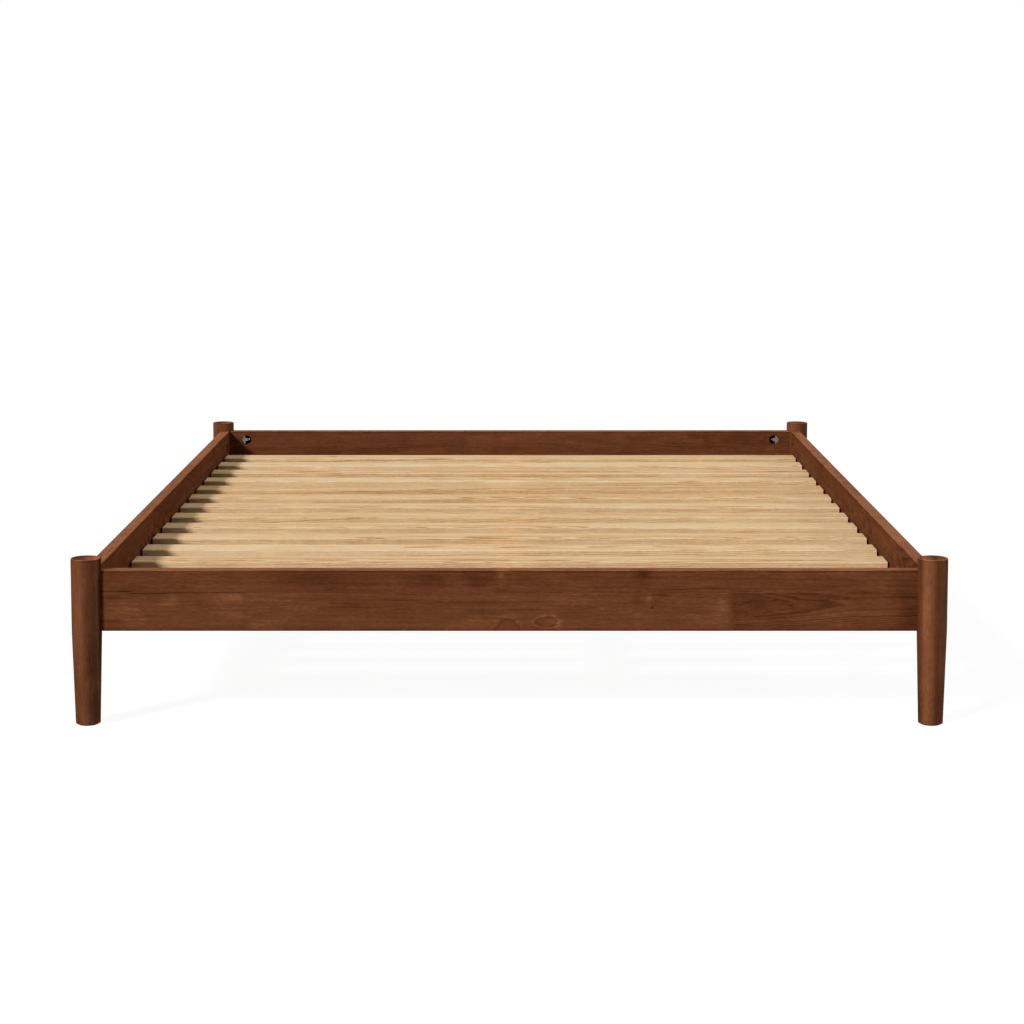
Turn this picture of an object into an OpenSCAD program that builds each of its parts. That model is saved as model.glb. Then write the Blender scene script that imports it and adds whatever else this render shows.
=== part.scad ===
// Low platform bed frame. Four turned legs stand a little above four edge-glued rails, and a
// slatted deck lies between the rails on two ledgers and a lengthwise centre beam.
// Origin: on the floor, in the middle of the footprint. The foot end faces -Y, the head end +Y.
// Left and right are as seen from the foot end. All lengths are in millimetres.

/* [Mattress] */
// Width of the mattress that the frame takes
mattress_w = 1524; // [1370:2:1600]
// Length of the mattress that the frame takes
mattress_l = 2032; // [1900:2:2060]
// Gap between the mattress and each rail
mattress_gap = 8; // [4:1:16]

/* [Legs] */
// Height of the leg tops above the floor
leg_h = 314; // [304:1:340]
// Leg diameter at the top
leg_top_d = 56.5; // [55.5:0.5:60]
// Leg diameter where the taper starts, level with the rails' lower edge
leg_shoulder_d = 56; // [55:0.5:58]
// Leg diameter at the floor
leg_foot_d = 46; // [42:0.5:50]
// Diameter of the turned hollow in each leg top
dish_d = 51; // [44:1:51]
// Depth of the turned hollow in each leg top
dish_depth = 11; // [4:0.5:13]

/* [Rails] */
// Thickness of the rails
rail_t = 24; // [24:1:28]
// Height of the rails
rail_h = 115; // [112:1:122]
// Height of the rails' lower edge above the floor
rail_z = 177; // [165:1:180]
// How far a rail's outer face lies outside the leg axis
rail_proud = 6; // [4:1:8]
// Radius of the rails' long edges
rail_edge_r = 1.5; // [1:0.5:3]

/* [Deck] */
// Number of slats
slat_count = 14; // [12:1:16]
// Width of a slat
slat_w = 70; // [60:1:80]
// Thickness of a slat
slat_t = 18; // [16:1:20]
// Depth of the slat tops below the rails' upper edge
deck_depth = 55; // [50:1:58]
// Thickness of the ledgers that carry the slat ends
ledger_t = 25; // [22:1:30]
// Height of the ledgers
ledger_h = 38; // [34:1:38]
// Width of the centre beam
beam_w = 60; // [50:2:70]
// Height of the centre beam
beam_h = 40; // [36:1:40]
// Distance of each strap from the middle of the bed
strap_x = 500; // [300:10:600]

/* [Centre leg] */
// Diameter of the centre leg at its top
centre_leg_top_d = 46; // [42:1:50]
// Diameter of the centre leg at its foot
centre_leg_foot_d = 40; // [36:1:46]
// Gap under the wood of the centre leg, which the levelling foot spans
centre_leg_gap = 24; // [24:1:28]
// Diameter of the levelling foot's pad
pad_d = 40; // [36:1:46]

/* [Hidden] */
$fn = 64;

fit = 0.05;          // radial clearance of a pin or screw in its hole
loose = 0.5;         // clearance at the blind end of a hole
over = 1;            // how far a cutting tool runs past the face that it opens
turned_fn = 96;      // facets around the turned legs

// Plan of the frame
leg_top_r = leg_top_d / 2;
inner_x = mattress_w / 2 + mattress_gap;          // inner faces of the side rails
inner_y = mattress_l / 2 + mattress_gap;          // inner faces of the end rails
leg_x = inner_x + rail_t - rail_proud;            // leg axes
leg_y = inner_y + rail_t - rail_proud;
seat_u = 20;                                      // leg axis to the flat that a rail butts on
end_rail_l = 2 * (leg_x - seat_u);
side_rail_l = 2 * (leg_y - seat_u);

// Heights
rail_top = rail_z + rail_h;
slat_top = rail_top - deck_depth;
deck_z = slat_top - slat_t;                       // tops of the beam and the ledgers
ledger_z = deck_z - ledger_h;
beam_z = deck_z - beam_h;

// Turned legs
glide_t = 2;
glide_d = 38;
foot_edge_r = 1.5;
rim_r = 2;
shoulder_soften = 10;                             // half length of the soft bend at the shoulder

// Rail joint, in a corner frame: u runs along the rail from the leg axis, v runs inwards
joint_v = rail_t / 2 - rail_proud;                // middle of the rail's thickness
end_stud_z = [rail_z + 39, rail_z + 91];
side_stud_z = [rail_z + 23, rail_z + 75];
end_dowel_z = rail_z + 62;
side_dowel_z = rail_z + 51;
stud_d = 8;
stud_u = 3;
stud_l = 70;
stud_hole_d = 9;
insert_d = 12;
insert_u = 2;
insert_gap = 0.2;                                 // clearance behind a threaded insert
dowel_d = 8;
dowel_l = 30;
pocket_u = 65;
pocket_d = 26;
pocket_depth = 20;
washer_d = 25;
washer_w = 12;
washer_flat_u = 61;
nut_af = 13;
nut_t = 6.5;
hex_face_share = 0.96;                            // of a hexagon's width, left flat by its chamfers

// Ledgers, slats and straps
ledger_to_leg = 92;
ledger_l = 2 * (leg_y - ledger_to_leg);
ledger_end_margin = 5;
slat_end_gap = 5;
slat_edge_r = 3;
slat_l = 2 * (inner_x - slat_end_gap);
slat_span = ledger_l - 2 * ledger_end_margin;
slat_pitch = (slat_span - slat_w) / (slat_count - 1);
small_edge_r = 2;
strap_w = 25;
strap_t = 1.2;
strap_end = 5;
staple_wire = 1;
staple_crown = 12;
staple_leg = 8;
staple_offset = 12;                               // from a slat's middle line

// Screws
screw_r = 2;
screw_head_r = 4;
screw_head_h = 2.4;
pan_bevel = 1.2;
screw_tip_l = 6;
screw_tip_r = 0.3;
recess_w = 1;
recess_l = 4.4;
recess_depth = 1.3;
ledger_screw_l = 40;
ledger_screw_count = 7;
ledger_screw_margin = 80;
ledger_screw_span = ledger_l - 2 * ledger_screw_margin;
slat_screw_l = 35;
hanger_screw_l = 18;

// Beam hangers, bent from steel sheet
hanger_t = 2;
hanger_depth = 40;
hanger_h = 36;
flange_w = 20;
flange_z = beam_z + 4;
flange_screw_z = [beam_z + 12, beam_z + 28];
cheek_screw_z = beam_z + 20;
cheek_screw_in = 22;
beam_end_gap = 1;

// Centre leg and its levelling foot
beam_insert_l = 20;
leg_stud_up = 18;
leg_stud_down = 30;
foot_insert_l = 25;
stem_top = 64;
stem_bore_top = 74;
pad_h = 9;
pad_chamfer = 1;
pad_edge_r = 2;
collar_d = 14;
collar_z = [3.1, 6];
socket_z = [3, 6.3];
socket_d = 14.6;
hex_z = [10.5, 15.5];
hex_af = 13;

CORNERS = [["foot_left", -1, -1], ["foot_right", 1, -1], ["head_left", -1, 1], ["head_right", 1, 1]];
SIDES = [-1, 1];

function slat_name(i) = str("slat_", i < 10 ? "0" : "", i);
function slat_y(i) = -slat_span / 2 + slat_w / 2 + (i - 1) * slat_pitch;
function ledger_screw_y(i) = -ledger_screw_span / 2 + i * ledger_screw_span / (ledger_screw_count - 1);

// ---- Shared shapes -------------------------------------------------------------------------

// Points of a circular arc, for turned profiles
function arc(x, y, r, from, to, steps = 6) =
    [for (i = [0:steps]) let (a = from + (to - from) * i / steps) [x + r * cos(a), y + r * sin(a)]];

// Points of a soft bend from p to r, pulled towards q
function bend(p, q, r, steps = 6) =
    [for (i = [0:steps]) let (t = i / steps) (1 - t) * (1 - t) * p + 2 * t * (1 - t) * q + t * t * r];

function mix(a, b, t) = a + (b - a) * t;

// A bar along +X from x = 0, with its four long edges rounded
module rounded_bar(l, w, h, r) {
    rotate([90, 0, 90]) linear_extrude(l) {
        translate([r, 0]) square([w - 2 * r, h]);
        translate([0, r]) square([w, h - 2 * r]);
        for (x = [r, w - r], y = [r, h - r]) translate([x, y]) circle(r);
    }
}

// A round bar along +X between two places
module rod_x(from, to, d) {
    translate([from, 0, 0]) rotate([0, 90, 0]) cylinder(h = to - from, d = d);
}

// A six-sided nut or head along +Z, measured across its flats, with both ends turned to a chamfer
module hexagon(h, across_flats) {
    corner_r = across_flats / 2 / cos(30);
    face_r = across_flats / 2 * hex_face_share;
    chamfer_h = (corner_r - face_r) * tan(30);
    intersection() {
        cylinder(h = h, r = corner_r, $fn = 6);
        rotate_extrude() polygon([[0, 0], [face_r, 0], [corner_r + over, chamfer_h + over * tan(30)],
            [corner_r + over, h - chamfer_h - over * tan(30)], [face_r, h], [0, h]]);
    }
}

// Swaps X and Y, so that what is built for an end rail fits a side rail
module swap_xy() {
    mirror([1, -1, 0]) children();
}

// Mirrors its children about the bed's middle where the side is positive
module facing_x(side) {
    if (side > 0) mirror([1, 0, 0]) children();
    else children();
}

module facing_y(side) {
    if (side > 0) mirror([0, 1, 0]) children();
    else children();
}

// The corner frame of one leg: +X and +Y run inwards from the leg axis
module at_corner(side_x, side_y) {
    facing_x(side_x) facing_y(side_y) translate([-leg_x, -leg_y, 0]) children();
}

// A wood screw that points down from z = 0; a countersunk head lies below z = 0, a pan head above
module wood_screw(l, countersunk = true) {
    top = countersunk ? 0 : screw_head_h;
    difference() {
        rotate_extrude() polygon(countersunk
            ? [[0, 0], [screw_head_r, 0], [screw_r, -screw_head_h], [screw_r, screw_tip_l - l],
               [screw_tip_r, -l], [0, -l]]
            : [[0, top], [screw_head_r - pan_bevel, top], [screw_head_r, top / 2], [screw_head_r, 0],
               [screw_r, 0], [screw_r, screw_tip_l - l], [screw_tip_r, -l], [0, -l]]);
        translate([-recess_l / 2, -recess_w / 2, top - recess_depth])
            cube([recess_l, recess_w, recess_depth + over]);
        translate([-recess_w / 2, -recess_l / 2, top - recess_depth])
            cube([recess_w, recess_l, recess_depth + over]);
    }
}

// The hole that a wood screw leaves in the wood
module screw_hole(l, countersunk = true) {
    r = screw_r + fit;
    head_r = screw_head_r + fit;
    translate([0, 0, -l - loose]) cylinder(h = l + loose + over, r = r);
    if (countersunk) {
        translate([0, 0, -screw_head_h]) cylinder(h = screw_head_h, r1 = r, r2 = head_r);
        cylinder(h = over, r = head_r);
    }
}

// ---- Where the repeated fasteners go -------------------------------------------------------

// Children placed in the corner frame of every rail end; $stud_z and $dowel_z are set for them
module at_rail_ends() {
    for (c = CORNERS) at_corner(c[1], c[2]) {
        let ($stud_z = end_stud_z, $dowel_z = end_dowel_z) children();
        let ($stud_z = side_stud_z, $dowel_z = side_dowel_z) swap_xy() children();
    }
}

// Children placed on each stud line of one rail end
module at_studs() {
    for (z = $stud_z) translate([0, joint_v, z]) children();
}

// Children placed at one ledger's screws, pointing out of the bed on the left side
module at_ledger_screws() {
    for (i = [0:ledger_screw_count - 1])
        translate([-inner_x + ledger_t, ledger_screw_y(i), ledger_z + ledger_h / 2])
            rotate([0, 90, 0]) children();
}

// Children placed at one slat's two end screws, pointing down
module at_slat_screws(y) {
    for (side = SIDES) translate([side * (inner_x - ledger_t / 2), y, slat_top]) children();
}

// Children placed at the flange screws of the foot hanger, pointing into the foot rail
module at_flange_screws() {
    for (side = SIDES, z = flange_screw_z)
        translate([side * (beam_w / 2 + flange_w / 2 + hanger_t), hanger_t - inner_y, z])
            rotate([-90, 0, 0]) children();
}

// Children placed at the cheek screws of the foot hanger, pointing into the beam
module at_cheek_screws() {
    for (side = SIDES) facing_x(side)
        translate([-beam_w / 2 - hanger_t, cheek_screw_in - inner_y, cheek_screw_z])
            rotate([0, -90, 0]) children();
}

// ---- Legs and rails ------------------------------------------------------------------------

module leg_turning() {
    shoulder_r = leg_shoulder_d / 2;
    foot_r = leg_foot_d / 2;
    below = shoulder_soften / (rail_z - glide_t);
    above = shoulder_soften / (leg_h - rail_z);
    shoulder = [shoulder_r, rail_z];
    rotate_extrude($fn = turned_fn) polygon(concat(
        [[0, glide_t]],
        arc(foot_r - foot_edge_r, glide_t + foot_edge_r, foot_edge_r, -90, 0, 4),
        bend(mix(shoulder, [foot_r, glide_t], below), shoulder,
             mix(shoulder, [leg_top_r, leg_h], above)),
        arc(leg_top_r - rim_r, leg_h - rim_r, rim_r, 0, 90),
        [[0, leg_h]]
    ));
}

// The two blind holes for the threaded inserts and the dowel's hole, in the leg's flat
module leg_joint_holes() {
    at_studs() rod_x(insert_u - insert_gap, seat_u + over, insert_d + 2 * fit);
    translate([0, joint_v, $dowel_z])
        rod_x(seat_u - dowel_l / 2 - loose, seat_u + over, dowel_d + 2 * fit);
}

module leg(side_x, side_y) {
    dish_r = (dish_d * dish_d / 4 + dish_depth * dish_depth) / (2 * dish_depth);
    color("#6e4229") at_corner(side_x, side_y) difference() {
        leg_turning();
        translate([0, 0, leg_h - dish_depth + dish_r]) sphere(dish_r, $fn = turned_fn);
        let ($stud_z = end_stud_z, $dowel_z = end_dowel_z) leg_rebate();
        let ($stud_z = side_stud_z, $dowel_z = side_dowel_z) swap_xy() leg_rebate();
    }
}

// The stopped rebate that a rail's end fits in, with the holes in its seat
module leg_rebate() {
    translate([seat_u, -rail_proud, rail_z]) cube([leg_top_d, leg_top_d, rail_h]);
    leg_joint_holes();
}

module glide(side_x, side_y) {
    color("#3b2a20") at_corner(side_x, side_y) cylinder(h = glide_t, d = glide_d);
}

// The stud holes, the pockets for the nuts and the dowel's hole at one rail end
module rail_joint_holes() {
    at_studs() {
        rod_x(seat_u - over, pocket_u, stud_hole_d);
        translate([pocket_u, rail_t / 2 - pocket_depth, 0])
            rotate([-90, 0, 0]) cylinder(h = pocket_depth + over, d = pocket_d);
    }
    translate([0, joint_v, $dowel_z])
        rod_x(seat_u - over, seat_u + dowel_l / 2 + loose, dowel_d + 2 * fit);
}

module rail_blank(l, leg_line) {
    translate([-l / 2, -leg_line - rail_proud, rail_z]) rounded_bar(l, rail_t, rail_h, rail_edge_r);
}

module end_rail(side_y) {
    color("#62382a") facing_y(side_y) difference() {
        rail_blank(end_rail_l, leg_y);
        for (side_x = SIDES) let ($stud_z = end_stud_z, $dowel_z = end_dowel_z)
            at_corner(side_x, -1) rail_joint_holes();
        at_flange_screws() screw_hole(hanger_screw_l, false);
    }
}

module side_rail(side_x) {
    color("#62382a") facing_x(side_x) difference() {
        swap_xy() rail_blank(side_rail_l, leg_x);
        for (side_y = SIDES) let ($stud_z = side_stud_z, $dowel_z = side_dowel_z)
            at_corner(-1, side_y) swap_xy() rail_joint_holes();
        at_ledger_screws() screw_hole(ledger_screw_l);
    }
}

// ---- Knock-down fittings between legs and rails --------------------------------------------

module rail_inserts() {
    color("#b9a15a") at_rail_ends() at_studs() difference() {
        rod_x(insert_u, seat_u, insert_d);
        rod_x(insert_u - over, seat_u + over, stud_d + 2 * fit);
    }
}

module rail_studs() {
    color("#a9acb0") at_rail_ends() at_studs() rod_x(stud_u, stud_u + stud_l, stud_d);
}

// Half-moon washers that bear on the round wall of each pocket
module rail_washers() {
    color("#a9acb0") at_rail_ends() at_studs() difference() {
        translate([pocket_u, -washer_w / 2, 0]) rotate([-90, 0, 0]) cylinder(h = washer_w, d = washer_d);
        translate([washer_flat_u, -washer_w, -washer_d]) cube([washer_d, 2 * washer_w, 2 * washer_d]);
        rod_x(seat_u, pocket_u, stud_hole_d);
    }
}

module rail_nuts() {
    color("#a9acb0") at_rail_ends() at_studs() difference() {
        translate([washer_flat_u, 0, 0]) rotate([0, 90, 0]) hexagon(nut_t, nut_af);
        rod_x(washer_flat_u - over, washer_flat_u + nut_t + over, stud_d + 2 * fit);
    }
}

module rail_dowels() {
    color("#d9b98a") at_rail_ends() translate([0, joint_v, $dowel_z])
        rod_x(seat_u - dowel_l / 2, seat_u + dowel_l / 2, dowel_d);
}

// ---- Deck ----------------------------------------------------------------------------------

module ledger(side_x) {
    color("#62382a") facing_x(side_x) difference() {
        translate([-inner_x + ledger_t, -ledger_l / 2, ledger_z]) rotate([0, 0, 90])
            rounded_bar(ledger_l, ledger_t, ledger_h, small_edge_r);
        at_ledger_screws() screw_hole(ledger_screw_l);
        for (y = [slat_y(1), slat_y(slat_count)]) at_slat_screws(y) screw_hole(slat_screw_l);
    }
}

module ledger_screws() {
    color("#b9a15a") for (side = SIDES) facing_x(side) at_ledger_screws() wood_screw(ledger_screw_l);
}

// One leg of a staple, or the slot that it leaves
module staple_legs(extra = 0) {
    for (side = SIDES)
        translate([side * (staple_crown - staple_wire) / 2 - staple_wire / 2 - extra,
                   -staple_wire / 2 - extra, deck_z - strap_t - staple_wire])
            cube([staple_wire + 2 * extra, staple_wire + 2 * extra,
                  staple_wire + strap_t + staple_leg + extra]);
}

// Children placed at the four staples of one slat
module at_staples(i) {
    for (x = SIDES, y = SIDES)
        translate([x * strap_x, slat_y(i) + y * staple_offset, 0]) children();
}

module slat(i) {
    screwed = i == 1 || i == slat_count;
    color("#dcbf93") difference() {
        translate([-slat_l / 2, slat_y(i) - slat_w / 2, deck_z])
            rounded_bar(slat_l, slat_w, slat_t, slat_edge_r);
        at_staples(i) staple_legs(fit);
        if (screwed) at_slat_screws(slat_y(i)) screw_hole(slat_screw_l);
    }
}

module slat_screws() {
    color("#b9a15a") for (y = [slat_y(1), slat_y(slat_count)])
        at_slat_screws(y) wood_screw(slat_screw_l);
}

module slat_strap(side_x) {
    strap_l = slat_span - 2 * strap_end;
    color("#e6e2d8") difference() {
        translate([side_x * strap_x - strap_w / 2, -strap_l / 2, deck_z - strap_t])
            cube([strap_w, strap_l, strap_t]);
        for (i = [1:slat_count]) at_staples(i) staple_legs(fit);
    }
}

module strap_staples() {
    color("#a9acb0") for (i = [1:slat_count]) at_staples(i) {
        staple_legs();
        translate([-staple_crown / 2, -staple_wire / 2, deck_z - strap_t - staple_wire])
            cube([staple_crown, staple_wire, staple_wire]);
    }
}

// ---- Centre beam and its hangers -----------------------------------------------------------

module centre_beam() {
    beam_l = 2 * (inner_y - beam_end_gap);
    color("#d3b488") difference() {
        translate([beam_w / 2, -beam_l / 2, beam_z]) rotate([0, 0, 90])
            rounded_bar(beam_l, beam_w, beam_h, small_edge_r);
        translate([0, 0, beam_z - over])
            cylinder(h = beam_insert_l + over + loose, d = insert_d + 2 * fit);
        for (side_y = SIDES) facing_y(side_y)
            at_cheek_screws() screw_hole(hanger_screw_l, false);
    }
}

module beam_hanger(side_y) {
    sheet_w = beam_w + 2 * hanger_t;
    color("#55585c") facing_y(side_y) difference() {
        union() {
            translate([-sheet_w / 2, -inner_y, beam_z - hanger_t])
                cube([sheet_w, hanger_depth, hanger_t]);
            for (side = SIDES) {
                translate([side * (sheet_w - hanger_t) / 2 - hanger_t / 2, -inner_y, beam_z - hanger_t])
                    cube([hanger_t, hanger_depth, hanger_h + hanger_t]);
                translate([side * (sheet_w + flange_w - hanger_t) / 2 - (flange_w + hanger_t) / 2,
                           -inner_y, flange_z])
                    cube([flange_w + hanger_t, hanger_t, beam_z + hanger_h - flange_z]);
            }
        }
        at_flange_screws() screw_hole(hanger_screw_l, false);
        at_cheek_screws() screw_hole(hanger_screw_l, false);
    }
}

module hanger_screws() {
    color("#a9acb0") for (side_y = SIDES) facing_y(side_y) {
        at_flange_screws() wood_screw(hanger_screw_l, false);
        at_cheek_screws() wood_screw(hanger_screw_l, false);
    }
}

// ---- Centre leg and levelling foot ---------------------------------------------------------

module centre_leg() {
    top_r = centre_leg_top_d / 2;
    foot_r = centre_leg_foot_d / 2;
    color("#6e4229") difference() {
        rotate_extrude($fn = turned_fn) polygon(concat(
            [[0, centre_leg_gap]],
            arc(foot_r - foot_edge_r, centre_leg_gap + foot_edge_r, foot_edge_r, -90, 0, 4),
            arc(top_r - foot_edge_r, beam_z - foot_edge_r, foot_edge_r, 0, 90, 4),
            [[0, beam_z]]
        ));
        translate([0, 0, centre_leg_gap - over])
            cylinder(h = foot_insert_l + over, d = insert_d + 2 * fit);
        cylinder(h = stem_bore_top, d = stud_hole_d);
        translate([0, 0, beam_z - leg_stud_down - loose])
            cylinder(h = leg_stud_down + loose + over, d = stud_d + 2 * fit);
    }
}

module centre_leg_stud() {
    color("#a9acb0") translate([0, 0, beam_z - leg_stud_down])
        cylinder(h = leg_stud_down + leg_stud_up, d = stud_d);
}

// A threaded insert, standing on z = 0
module threaded_insert(l) {
    color("#b9a15a") difference() {
        cylinder(h = l, d = insert_d);
        translate([0, 0, -over]) cylinder(h = l + 2 * over, d = stud_d + 2 * fit);
    }
}

module centre_beam_insert() {
    translate([0, 0, beam_z]) threaded_insert(beam_insert_l);
}

module centre_foot_insert() {
    translate([0, 0, centre_leg_gap]) threaded_insert(foot_insert_l);
}

// The threaded stem: a collar held in the pad, a hexagon for a spanner and the thread
module centre_foot_stem() {
    color("#a9acb0") {
        translate([0, 0, collar_z[0]]) cylinder(h = collar_z[1] - collar_z[0], d = collar_d);
        translate([0, 0, collar_z[0]]) cylinder(h = stem_top - collar_z[0], d = stud_d);
        translate([0, 0, hex_z[0]]) hexagon(hex_z[1] - hex_z[0], hex_af);
    }
}

// The pad stands on the floor and holds the stem's collar, so that the stem can turn in it
module centre_foot_pad() {
    color("#26262a") difference() {
        rotate_extrude() polygon(concat(
            [[0, 0], [pad_d / 2 - pad_chamfer, 0], [pad_d / 2, pad_chamfer]],
            arc(pad_d / 2 - pad_edge_r, pad_h - pad_edge_r, pad_edge_r, 0, 90),
            [[0, pad_h]]
        ));
        translate([0, 0, socket_z[0]]) cylinder(h = socket_z[1] - socket_z[0], d = socket_d);
        translate([0, 0, socket_z[0]]) cylinder(h = pad_h, d = stud_d + 2 * fit);
    }
}

// ---- Nodes ---------------------------------------------------------------------------------

for (c = CORNERS) {
    leg(c[1], c[2]);
    glide(c[1], c[2]);
}
end_rail(-1);  // foot_rail
end_rail(1);  // head_rail
side_rail(-1);  // left_rail
side_rail(1);  // right_rail
ledger(-1);  // left_ledger
ledger(1);  // right_ledger
centre_beam();
beam_hanger(-1);  // foot_beam_hanger
beam_hanger(1);  // head_beam_hanger
centre_leg();
centre_leg_stud();
centre_beam_insert();
centre_foot_insert();
centre_foot_stem();
centre_foot_pad();
for (i = [1:slat_count]) {
    slat(i);
}
slat_strap(-1);  // slat_strap_left
slat_strap(1);  // slat_strap_right
strap_staples();
rail_inserts();
rail_studs();
rail_washers();
rail_nuts();
rail_dowels();
ledger_screws();
slat_screws();
hanger_screws();
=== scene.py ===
"""Looks for the low platform bed frame: finishes, threads, webbing, felt, light and camera.

The frame's own axes are used throughout, in metres: +Z up, +Y towards the head end, and the
origin on the floor in the middle of the footprint.
"""

import math
import random
from collections import namedtuple

import bmesh
import bpy
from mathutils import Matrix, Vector


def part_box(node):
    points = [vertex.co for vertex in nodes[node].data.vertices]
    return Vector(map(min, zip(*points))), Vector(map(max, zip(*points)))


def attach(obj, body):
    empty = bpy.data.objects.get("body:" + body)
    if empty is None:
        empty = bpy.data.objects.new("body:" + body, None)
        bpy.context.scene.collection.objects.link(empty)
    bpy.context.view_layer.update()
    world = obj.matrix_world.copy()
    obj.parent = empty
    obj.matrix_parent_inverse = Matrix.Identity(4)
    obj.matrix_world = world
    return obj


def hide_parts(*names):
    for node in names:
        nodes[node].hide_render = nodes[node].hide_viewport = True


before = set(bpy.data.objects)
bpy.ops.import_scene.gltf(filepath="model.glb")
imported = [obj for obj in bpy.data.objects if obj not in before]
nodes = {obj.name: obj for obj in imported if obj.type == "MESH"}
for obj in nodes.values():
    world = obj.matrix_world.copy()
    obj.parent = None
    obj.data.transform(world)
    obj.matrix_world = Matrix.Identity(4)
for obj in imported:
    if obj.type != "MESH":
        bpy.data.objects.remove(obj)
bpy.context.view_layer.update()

MM = 0.001
X, Y, Z = 0, 1, 2                                # axis numbers

# ---- Places taken from the frame ------------------------------------------------------------

leg_low, leg_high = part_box("foot_left_leg")
LEG_X = -(leg_low.x + leg_high.x) / 2
LEG_Y = -(leg_low.y + leg_high.y) / 2
LEG_TOP = leg_high.z
RAIL_LOW, RAIL_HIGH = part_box("foot_rail")
SIDE_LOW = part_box("left_rail")[0]
SLATS = sorted(name for name in nodes if name.startswith("slat_") and name[-2:].isdigit())
SLAT_Y = [(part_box(name)[0].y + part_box(name)[1].y) / 2 for name in SLATS]
SLAT_PITCH = SLAT_Y[1] - SLAT_Y[0]
DECK_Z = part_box(SLATS[0])[0].z

CORNERS = {"foot_left": (-1, -1), "foot_right": (1, -1), "head_left": (-1, 1), "head_right": (1, 1)}


# ---- Node trees -----------------------------------------------------------------------------

class Nodes:
    """A node tree, with short calls for the nodes that the finishes and the world share."""

    def __init__(self, tree):
        self.tree = tree

    def add(self, kind, inputs=None, **settings):
        """A new node. inputs gives a value or an output to link, by the input's number or name."""
        made = self.tree.nodes.new(kind)
        for key, value in settings.items():
            setattr(made, key, value)
        for key, value in (inputs or {}).items():
            self.put(made.inputs[key], value)
        return made

    def put(self, socket, value):
        if isinstance(value, bpy.types.NodeSocket):
            self.tree.links.new(value, socket)
        elif value is not None:
            socket.default_value = value

    def math(self, operation, a, b=None, c=None):
        return self.add("ShaderNodeMath", {0: a, 1: b, 2: c}, operation=operation).outputs[0]

    def vmath(self, operation, a, b=None, c=None, out="Vector"):
        made = self.add("ShaderNodeVectorMath", {0: a, 1: b, 2: c}, operation=operation)
        return made.outputs[out]

    def plus(self, total, value, factor):
        """total + value * factor"""
        return self.math("MULTIPLY_ADD", value, factor, total)

    def mix(self, factor, a, b):
        """Colour a where factor is 0, and b where it is 1."""
        return self.add("ShaderNodeMix", {0: factor, 6: a, 7: b}, data_type="RGBA").outputs[2]

    def remap(self, value, low, high, to_low=0.0, to_high=1.0, smooth=True):
        """to_low where value is low, to_high where it is high, and no further past either."""
        made = self.add("ShaderNodeMapRange", {0: value, 1: low, 2: high, 3: to_low, 4: to_high},
                        interpolation_type="SMOOTHSTEP" if smooth else "LINEAR")
        return made.outputs[0]

    def ramp(self, value, stops):
        made = self.add("ShaderNodeValToRGB", {0: value})
        ramp = made.color_ramp
        while len(ramp.elements) < len(stops):
            ramp.elements.new(0.5)
        for element, (position, colour) in zip(ramp.elements, stops):
            element.position = position
            element.color = colour
        return made.outputs[0]

    def position(self):
        """Object coordinates, split into X, Y and Z in metres."""
        coordinates = self.add("ShaderNodeTexCoord").outputs["Object"]
        return list(self.add("ShaderNodeSeparateXYZ", {0: coordinates}).outputs)

    def vector(self, x=0.0, y=0.0, z=0.0):
        return self.add("ShaderNodeCombineXYZ", {0: x, 1: y, 2: z}).outputs[0]

    def split(self, vector):
        return list(self.add("ShaderNodeSeparateXYZ", {0: vector}).outputs)

    def noise(self, place, per_metre, detail=2.0, roughness=0.5, seed=0.0):
        """Noise from about 0.3 to 0.7 whose features are 1 / per_metre long on each axis."""
        scaled = self.vmath("MULTIPLY_ADD", place, per_metre, (seed, 3.7 * seed, 9.1 * seed))
        made = self.add("ShaderNodeTexNoise", {"Vector": scaled, "Scale": 1.0, "Detail": detail,
                                               "Roughness": roughness})
        return made.outputs["Fac"]

    def seen_directly(self):
        """1 for what the camera sees, also mirrored or through glass, and 0 for light on the object."""
        rays = self.add("ShaderNodeLightPath").outputs
        seen = self.math("MAXIMUM", rays["Is Camera Ray"], rays["Is Glossy Ray"])
        return self.math("MAXIMUM", seen, rays["Is Transmission Ray"])


class Finish(Nodes):
    """A material whose nodes end in one Principled shader."""

    def __init__(self, name):
        self.material = bpy.data.materials.new(name)
        self.material.use_nodes = True
        super().__init__(self.material.node_tree)
        self.shader = self.tree.nodes["Principled BSDF"]

    def set(self, **sockets):
        """Sets or links the shader's inputs, with an underscore for each space in their names."""
        for key, value in sockets.items():
            self.put(self.shader.inputs[key.replace("_", " ")], value)

    def bump(self, height, distance, strength):
        inputs = {"Strength": strength, "Distance": distance, "Height": height}
        made = self.add("ShaderNodeBump", inputs)
        self.put(self.shader.inputs["Normal"], made.outputs[0])


def rgb(r, g, b):
    """A colour given as the 0 to 255 values that it shows as, turned into scene values."""
    def linear(c):
        c /= 255
        return c / 12.92 if c <= 0.04045 else ((c + 0.055) / 1.055) ** 2.4
    return (linear(r), linear(g), linear(b), 1.0)


def grey(value):
    """A grey given as a scene value."""
    return (value, value, value, 1.0)


# ---- Wood -----------------------------------------------------------------------------------
#
# Every wooden part is cut from a solid field, so that its faces, edges and end grain belong
# together. The field has three coordinates: along the grain, across the board's face, and depth
# below that face. Growth rings are cones about a pith line that lies behind the face. In each
# function below, f is the Finish that it adds nodes to.

# One board: its tone, where its pith line lies across and behind the face, the rings' taper along
# it, and a number that sets its noise apart
Stave = namedtuple("Stave", "tone pith slope pith_depth seed")
# A spot where the rings are lifted and their contrast grows
Eye = namedtuple("Eye", "along across length width lift contrast")
# A spot that is lighter or darker, or that has an oval line around it
Patch = namedtuple("Patch", "along across length width tone")
# A glue line that climbs by rise on its way, and fades in and out over fade
Seam = namedtuple("Seam", "start end height rise darkness fade")
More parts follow.
